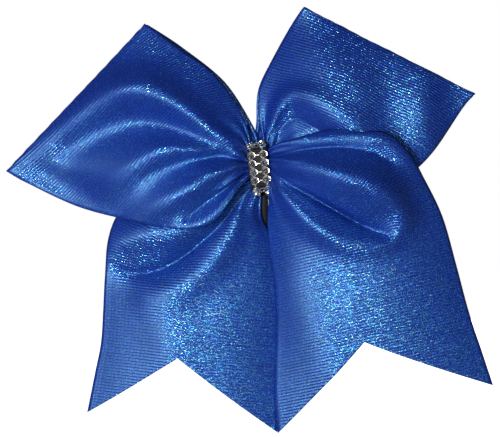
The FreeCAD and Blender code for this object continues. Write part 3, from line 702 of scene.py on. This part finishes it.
left_loop = make_loop("left_loop_ribbon", LEFT_LOOP_FRONT, LEFT_LOOP_BACK, LEFT_LOOP_FOLDS,
                      LEFT_BACK_FOLDS, 0.16, 116.0, 1, BLUE)
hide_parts("left_loop_front", "left_loop_back")
right_loop = make_loop("right_loop_ribbon", RIGHT_LOOP_FRONT, RIGHT_LOOP_BACK, RIGHT_LOOP_FOLDS,
                       RIGHT_BACK_FOLDS, 0.05, 116.0, -1, BLUE)
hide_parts("right_loop_front", "right_loop_back")
right_tail = make_tail("right_tail_ribbon", RIGHT_TAIL, RIGHT_TAIL_FOLDS, (0.54, 25.0), 170.0, -1, BLUE)
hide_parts("right_tail_upper", "right_tail")
left_tail = make_tail("left_tail_ribbon", LEFT_TAIL, LEFT_TAIL_FOLDS, (0.44, 22.5), 150.0, 1, BLUE)
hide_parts("left_tail_upper", "left_tail")
for piece, body in ((left_loop, "left_loop"), (right_loop, "right_loop")):
    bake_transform(piece)
for piece, body in ((left_tail, "left_tail"), (right_tail, "right_tail")):
    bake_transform(piece)

# ---------------------------------------------------------------- knot: the way round the wrap
#
# The wrap's outside is a rounded rectangle seen from the side, leaning a little with the knot.

FRONT, BACK, HALF_HEIGHT, CORNER = 4.7, 8.4, 8.0, 3.2
FLAT_RUN = HALF_HEIGHT - CORNER
TURN_RUN = CORNER * math.pi / 2
TOP_RUN = FRONT + BACK - 2 * CORNER
HALF_ROUND = 2 * FLAT_RUN + 2 * TURN_RUN + TOP_RUN


def round_knot(run, x=0.0, out=0.0):
    """The place a length up from the middle of the wrap's front, and the way out of the wrap there."""
    run = (run + HALF_ROUND) % (2 * HALF_ROUND) - HALF_ROUND
    left = abs(run)
    if left <= FLAT_RUN:
        y, z, turn = -FRONT, left, 0.0
    elif left <= FLAT_RUN + TURN_RUN:
        turn = (left - FLAT_RUN) / CORNER
        y, z = -FRONT + CORNER * (1 - math.cos(turn)), FLAT_RUN + CORNER * math.sin(turn)
    elif left <= FLAT_RUN + TURN_RUN + TOP_RUN:
        y, z, turn = -FRONT + CORNER + left - FLAT_RUN - TURN_RUN, HALF_HEIGHT, math.pi / 2
    elif left <= FLAT_RUN + 2 * TURN_RUN + TOP_RUN:
        turn = math.pi / 2 + (left - FLAT_RUN - TURN_RUN - TOP_RUN) / CORNER
        y, z = BACK - CORNER + CORNER * math.sin(turn), FLAT_RUN - CORNER * math.cos(turn)
    else:
        y, z, turn = BACK, HALF_ROUND - left, math.pi
    way_up = 1 if run >= 0 else -1
    normal = Vector((0, -math.cos(turn), way_up * math.sin(turn)))
    return Vector((x, y, way_up * z)) + normal * out, normal


WRAP_WIDTH = 7.4
WRAP_SHEET = 0.5
WRAP_SELVAGE = 0.5
WRAP_COLUMNS = 10
WRAP_START = -(HALF_ROUND - 5.5)
WRAP_DROP = HALF_ROUND + FLAT_RUN
WRAP_END = WRAP_DROP + 4.6
LAP_LEAD, LAP_RISE = 8, 4


def make_wrap():
    """Black ribbon wound once round the knot: its outer end laps over the inner one behind, and its
    cut end hangs just below."""

    def maker(bm):
        flat_ribbon(bm, WRAP_START, WRAP_END, WRAP_WIDTH, WRAP_COLUMNS)

        def shape(share):
            x = (share - 0.5) * WRAP_WIDTH

            def point(run):
                lap = min(max((run - HALF_ROUND + LAP_LEAD) / LAP_RISE, 0), 1) * WRAP_SHEET
                if run > WRAP_DROP:
                    place, _ = round_knot(WRAP_DROP, x, lap - WRAP_SHEET / 2)
                    place.z -= run - WRAP_DROP
                else:
                    place, _ = round_knot(run, x, lap - WRAP_SHEET / 2)
                return LEAN @ place

            return point

        weave(bm, shape, WRAP_WIDTH, WRAP_SELVAGE)
        map_pattern(bm)
        bmesh.ops.reverse_faces(bm, faces=bm.faces)

    piece = thicken(new_piece("centre_wrap_ribbon", maker, BLACK, "knot"), WRAP_SHEET)
    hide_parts("centre_wrap")


PLEATS = 22
PLEAT_STEPS = 8
CORE_DEPTH, CORE_HEIGHT, CORE_LENGTH = 2.9, 6.1, 3.5
CORE_SHEET = 0.45


def make_core():
    """The gathered ribbon inside the wrap, as pleats pressed together."""

    def maker(bm):
        bmesh.ops.create_grid(bm, x_segments=6, y_segments=PLEATS * PLEAT_STEPS, size=0.5)
        ribs = bm.verts.layers.deform.verify()
        for vert in bm.verts:
            along, across = vert.co.x * 2, vert.co.y + 0.5
            turns = across * PLEATS
            depth = CORE_DEPTH * (1 - 0.25 * (2 * across - 1) ** 4) * math.sin(math.pi * turns)
            height = CORE_HEIGHT * (2 * across - 1) + 0.12 * math.sin(2 * math.pi * turns)
            vert.co = KNOT + LEAN @ Vector((along * CORE_LENGTH, depth, height)) * MM
            vert[ribs][0] = 1.0

    piece = thicken(new_piece("gathered_core", maker, BLUE_PLAIN, "knot"), CORE_SHEET)
    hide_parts("ribbon_core")


THREAD_TURNS, THREAD_PITCH, THREAD_RADIUS = 5, 0.8, 0.3
THREAD_DEPTH, THREAD_HEIGHT = 3.35, 6.55
THREAD_STEPS, THREAD_SIDES = 48, 10


def make_thread():
    """Turns of waxed thread pulled tight round the gathers, as one helix of two twisted plies."""

    def maker(bm):
        steps = THREAD_TURNS * THREAD_STEPS
        rings = []
        for step in range(steps + 1):
            turn = 2 * math.pi * step / THREAD_STEPS
            x = THREAD_PITCH * (step / THREAD_STEPS - THREAD_TURNS / 2)
            spread = (abs(math.cos(turn)) ** 4 + abs(math.sin(turn)) ** 4) ** -0.25
            middle = Vector((x, THREAD_DEPTH * spread * math.cos(turn),
                             THREAD_HEIGHT * spread * math.sin(turn)))
            out = Vector((0, math.cos(turn), math.sin(turn)))
            ring = []
            for side in range(THREAD_SIDES):
                angle = 2 * math.pi * side / THREAD_SIDES
                ply = THREAD_RADIUS * (0.82 + 0.18 * abs(math.cos(angle + step * 0.7)))
                place = middle + out * ply * math.cos(angle) + Vector((ply * math.sin(angle), 0, 0))
                ring.append(bm.verts.new(KNOT + LEAN @ place * MM))
            rings.append(ring)
        skin_rings(bm, rings)

    piece = new_piece("cinch_thread_turns", maker, THREAD, "knot")
    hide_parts("cinch_thread")


def skin_rings(bm, rings):
    """Joins rings of points into a tube closed at both ends."""
    for a, b in zip(rings, rings[1:]):
        for side, corner in enumerate(a):
            after = (side + 1) % len(a)
            bm.faces.new((corner, a[after], b[after], b[side]))
    bm.faces.new(rings[0])
    bm.faces.new(rings[-1])
    bmesh.ops.recalc_face_normals(bm, faces=bm.faces)


# ---------------------------------------------------------------- knot: rhinestone strip

STONE_ROWS, ROWS_BELOW, STONE_PITCH, STONE_COLUMN = 14, 5, 2.95, 2.1
STRIP_GAP = 0.02
CRYSTAL_HEIGHT = 1.2
CLAW_PLACE, CLAW_LEAN, CLAW_TAPER = 1.32, -0.42, 0.55
CLAW_THICK, CLAW_WIDE, CLAW_TALL, CLAW_MIDDLE = 0.3, 0.62, 0.9, 1.35


def turned(bm, profile, steps):
    """Turns a profile of (radius, height) points round the z axis into a closed shape."""
    verts = [bm.verts.new((r, 0, z)) for r, z in profile]
    edges = [bm.edges.new(pair) for pair in zip(verts, verts[1:])]
    bmesh.ops.spin(bm, geom=verts + edges, cent=(0, 0, 0), axis=(0, 0, 1), angle=2 * math.pi, steps=steps)
    bmesh.ops.remove_doubles(bm, verts=bm.verts, dist=1e-4)
    bmesh.ops.recalc_face_normals(bm, faces=bm.faces)


def cup_mesh():
    """A round cup with four claws bent over the crystal's edge, standing on z 0."""
    bm = bmesh.new()
    turned(bm, [(0, 0), (1.25, 0), (1.42, 0.14), (1.45, 0.5), (1.45, 1.1), (1.38, 1.2), (1.2, 1.16),
                (1.16, 0.5), (0, 0.42)], 20)
    for quarter in range(4):
        start = len(bm.verts)
        claw = bmesh.ops.create_cube(bm, size=1.0)["verts"]
        for vert in claw:
            high = vert.co.z > 0
            lean = CLAW_LEAN if high else 0.0
            thin = CLAW_TAPER if high else 1.0
            vert.co = Vector((CLAW_PLACE + vert.co.x * CLAW_THICK * thin + lean,
                              vert.co.y * CLAW_WIDE * thin, CLAW_MIDDLE + vert.co.z * CLAW_TALL))
        edges = list({e for v in claw for e in v.link_edges})
        bmesh.ops.bevel(bm, geom=edges, offset=0.1, segments=2, affect="EDGES", profile=0.5)
        bm.verts.ensure_lookup_table()
        turn = Matrix.Rotation(math.pi / 4 + quarter * math.pi / 2, 3, "Z")
        bmesh.ops.rotate(bm, verts=bm.verts[start:], cent=(0, 0, 0), matrix=turn)
    bmesh.ops.recalc_face_normals(bm, faces=bm.faces)
    return kept_mesh(bm, "cup")


def link_mesh():
    """The little bridge that joins one cup to the next, lying along x on z 0."""
    bm = bmesh.new()
    cube = bmesh.ops.create_cube(bm, size=1.0)["verts"]
    for vert in cube:
        vert.co = Vector((vert.co.x * 2.2, vert.co.y * 0.5, 0.25 + vert.co.z * 0.3))
    bmesh.ops.bevel(bm, geom=bm.edges[:], offset=0.12, segments=2, affect="EDGES", profile=0.5)
    return kept_mesh(bm, "link")


def kept_mesh(bm, name):
    mesh = bpy.data.meshes.new(name)
    bm.to_mesh(mesh)
    bm.free()
    return mesh


def crystal_mesh():
    """A cut chaton about its girdle: table, crown facets, girdle and a foiled pavilion."""
    bm = bmesh.new()

    def ring(radius, height, count):
        return [bm.verts.new((radius * math.cos(2 * math.pi * i / count),
                              radius * math.sin(2 * math.pi * i / count), height)) for i in range(count)]

    table, girdle, foot = ring(0.7, 0.42, 8), ring(1.17, 0.0, 16), ring(1.17, -0.12, 16)
    tip = bm.verts.new((0, 0, -0.6))
    faces = [bm.faces.new(table)]
    for i in range(8):
        a, b, c = girdle[2 * i - 1], girdle[2 * i], girdle[(2 * i + 1) % 16]
        faces += [bm.faces.new((table[i], a, b)), bm.faces.new((table[i], b, c)),
                  bm.faces.new((table[i], c, table[(i + 1) % 8]))]
    for i in range(16):
        after = (i + 1) % 16
        faces.append(bm.faces.new((girdle[i], foot[i], foot[after], girdle[after])))
        back = bm.faces.new((foot[i], tip, foot[after]))
        back.material_index = 1
    bmesh.ops.recalc_face_normals(bm, faces=bm.faces)
    return kept_mesh(bm, "crystal")


def stamp(bm, mesh, matrix):
    start = len(bm.verts)
    bm.from_mesh(mesh)
    bm.verts.ensure_lookup_table()
    bmesh.ops.transform(bm, matrix=matrix, verts=bm.verts[start:])


def on_wrap(run, x, out, size=1.0):
    """Stands something on the wrap: its z points out of the wrap and its y along the strip."""
    place, normal = round_knot(run, x, out)
    across = Vector((1, 0, 0))
    turn = Matrix((across, normal.cross(across), normal)).transposed()
    matrix = (LEAN @ turn).to_4x4()
    matrix.translation = KNOT / MM + LEAN @ place
    return Matrix.Scale(MM, 4) @ matrix @ Matrix.Scale(size, 4)


def make_stones():
    cup, link, crystal = cup_mesh(), link_mesh(), crystal_mesh()
    runs = [(row - ROWS_BELOW + 0.5) * STONE_PITCH for row in range(STONE_ROWS)]

    def cups(bm):
        for row, run in enumerate(runs):
            for side in (-1, 1):
                stamp(bm, cup, on_wrap(run, side * STONE_COLUMN, STRIP_GAP))
                if row:
                    upright = Matrix.Rotation(math.pi / 2, 4, "Z")
                    stamp(bm, link, on_wrap(run - STONE_PITCH / 2, side * STONE_COLUMN, STRIP_GAP) @ upright)
            stamp(bm, link, on_wrap(run, 0, STRIP_GAP))

    def crystals(bm):
        for run in runs:
            for side in (-1, 1):
                stamp(bm, crystal, on_wrap(run, side * STONE_COLUMN, CRYSTAL_HEIGHT))

    numbers = [f"{row:02d}" for row in range(1, STONE_ROWS + 1)]
    settings = new_piece("rhinestone_cups", cups, SILVER, "knot", smooth=False)
    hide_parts(*[f"setting_row_{number}" for number in numbers])
    stones = new_piece("rhinestone_crystals", crystals, GLASS, "knot", smooth=False)
    stones.data.materials.append(FOIL)
    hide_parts(*[f"crystal_row_{number}" for number in numbers])
    for mesh in (cup, link, crystal):
        bpy.data.meshes.remove(mesh)


# ---------------------------------------------------------------- elastic hair loop
#
# Right and up from the middle of the eye, in millimetres, from one glued end round to the other.

ELASTIC_ROUTE = [
    (-1.75, 53.0), (-1.75, 40.0), (-1.75, 27.4), (-7.0, 23.0), (-18.4, 13.4), (-22.6, 3.2), (-21.4, -7.8),
    (-15.2, -16.9), (-5.5, -22.1), (5.5, -22.1), (15.2, -16.9), (21.4, -7.8), (22.6, 3.2), (18.4, 13.4),
    (7.0, 23.0), (1.75, 27.4), (1.75, 40.0), (1.75, 53.0),
]
CORD_WIDTH, CORD_DEPTH = 3.2, 3.6
BRAID_STRANDS = 6
BRAID_LAY = 1.8
BRAID_HEIGHT = 0.2
BRAID_STEP, BRAID_SIDES = 0.3, 48
WAY_STEP = 0.0004


def read_route(route):
    """The points that a smooth spline through the route's control points follows."""
    curve = bpy.data.curves.new("route", "CURVE")
    curve.dimensions = "3D"
    curve.resolution_u = 40
    line = curve.splines.new("NURBS")
    line.points.add(len(route) - 1)
    for point, (x, z) in zip(line.points, route):
        point.co = (x * MM, 0, z * MM, 1)
    line.order_u = 3
    line.use_endpoint_u = True
    holder = bpy.data.objects.new("route", curve)
    mesh = bpy.data.meshes.new_from_object(holder)
    points = [v.co.copy() for v in mesh.vertices]
    bpy.data.objects.remove(holder)
    bpy.data.curves.remove(curve)
    bpy.data.meshes.remove(mesh)
    return points


def braid_height(around, along):
    """How high the braid's top strand stands: two families of strands go over and under each other."""
    one, other = around * BRAID_STRANDS + along, around * BRAID_STRANDS - along
    over = (math.floor(one) + math.floor(other)) % 2 == 0
    across = (one if over else other) % 1
    down = (other if over else one) % 1
    return math.sin(math.pi * across) * (1 - 0.35 * (2 * down - 1) ** 2)


def make_elastic():
    path = read_route(ELASTIC_ROUTE)
    thread = Thread(path, (path[-1] - path[-2]).normalized())
    total = thread.lengths[-1]

    def maker(bm):
        steps = round(total / MM / BRAID_STEP)
        rings = []
        for step in range(steps + 1):
            run = total * step / steps
            middle = thread.point(run)
            ahead = thread.point(min(run + WAY_STEP, total))
            way = (ahead - thread.point(max(run - WAY_STEP, 0))).normalized()
            flat = way.cross(Vector((0, 1, 0)))
            ring = []
            for side in range(BRAID_SIDES):
                angle = 2 * math.pi * side / BRAID_SIDES
                rise = BRAID_HEIGHT * (braid_height(side / BRAID_SIDES, run / MM / BRAID_LAY) - 1)
                place = flat * math.cos(angle) * (CORD_WIDTH / 2 + rise)
                place += Vector((0, math.sin(angle) * (CORD_DEPTH / 2 + rise), 0))
                ring.append(bm.verts.new(middle + place * MM))
            rings.append(ring)
        skin_rings(bm, rings)

    piece = new_piece("hair_elastic_braid", maker, BRAID)
    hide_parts("elastic_anchor", "hair_elastic")
    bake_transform(piece)


def dress_node(name, material):
    """Gives a CAD node that stays in sight its material."""
    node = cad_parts[name]
    node.data.materials.clear()
    node.data.materials.append(material)


make_core()
make_thread()
make_wrap()
make_stones()
make_elastic()
dress_node("elastic_sleeve", STEEL)
dress_node("rear_glue", GLUE)

# ---------------------------------------------------------------- floor, light and camera

FLOOR_HALF = 3.0
FLOOR_GAP = 0.004
VIEW_WIDTH = 0.175
LENS, SENSOR = 200.0, 36.0
CAMERA_AWAY = VIEW_WIDTH * LENS / SENSOR


def make_floor():
    """A pale sheet below the bow, which shows white."""

    def maker(bm):
        bmesh.ops.create_grid(bm, x_segments=1, y_segments=1, size=FLOOR_HALF)
        bmesh.ops.translate(bm, vec=(0, 0, cad_box[0][2] - FLOOR_GAP), verts=bm.verts)

    material, nodes, links, shader = new_material("floor_paper", Roughness=0.9)
    shader.inputs["Base Color"].default_value = (0.6, 0.6, 0.6, 1)
    shader.inputs["Emission Color"].default_value = (1, 1, 1, 1)
    rays = nodes.new("ShaderNodeLightPath")
    links.new(rays.outputs["Is Camera Ray"], shader.inputs["Emission Strength"])
    floor = new_piece("floor", maker, material)


def soft_light(name, place, target, size, power):
    data = bpy.data.lights.new(name, "AREA")
    data.size, data.energy = size, power
    lamp = bpy.data.objects.new(name, data)
    lamp.location = place
    lamp.rotation_mode = "QUATERNION"
    lamp.rotation_quaternion = (target - place).to_track_quat("-Z", "Y")
    bpy.context.scene.collection.objects.link(lamp)


def make_world():
    world = bpy.data.worlds.new("studio")
    bpy.context.scene.world = world
    world.use_nodes = True
    nodes, links = world.node_tree.nodes, world.node_tree.links
    nodes.clear()
    seen, lit = nodes.new("ShaderNodeBackground"), nodes.new("ShaderNodeBackground")
    seen.inputs["Color"].default_value = (1, 1, 1, 1)
    seen.inputs["Strength"].default_value = 1.0
    lit.inputs["Color"].default_value = (0.92, 0.95, 1, 1)
    lit.inputs["Strength"].default_value = 0.06
    rays = nodes.new("ShaderNodeLightPath")
    mix = nodes.new("ShaderNodeMixShader")
    out = nodes.new("ShaderNodeOutputWorld")
    links.new(rays.outputs["Is Camera Ray"], mix.inputs["Fac"])
    links.new(lit.outputs[0], mix.inputs[1])
    links.new(seen.outputs[0], mix.inputs[2])
    links.new(mix.outputs[0], out.inputs["Surface"])


def make_camera():
    """A long lens square on to the bow."""
    data = bpy.data.cameras.new("camera")
    data.lens, data.sensor_width = LENS, SENSOR
    camera = bpy.data.objects.new("camera", data)
    bpy.context.scene.collection.objects.link(camera)
    centre = at(-3.15, 0, -17.7)
    camera.location = centre + Vector((0, -CAMERA_AWAY, 0))
    camera.rotation_euler = (math.pi / 2, 0, 0)
    data.clip_start, data.clip_end = 0.01, 50.0
    bpy.context.scene.camera = camera


make_floor()
make_world()
middle = at(0, -8, -10)
soft_light("key", at(-230, -640, -15), middle, 0.13, 5.4)
soft_light("glint", at(60, -1000, 230), middle, 0.06, 1.6)
soft_light("side", at(-700, -500, 250), middle, 0.30, 0.4)
soft_light("behind", at(350, 1150, 120), middle, 0.4, 9.0)
make_camera()

bpy.context.scene.view_settings.view_transform = "Standard"
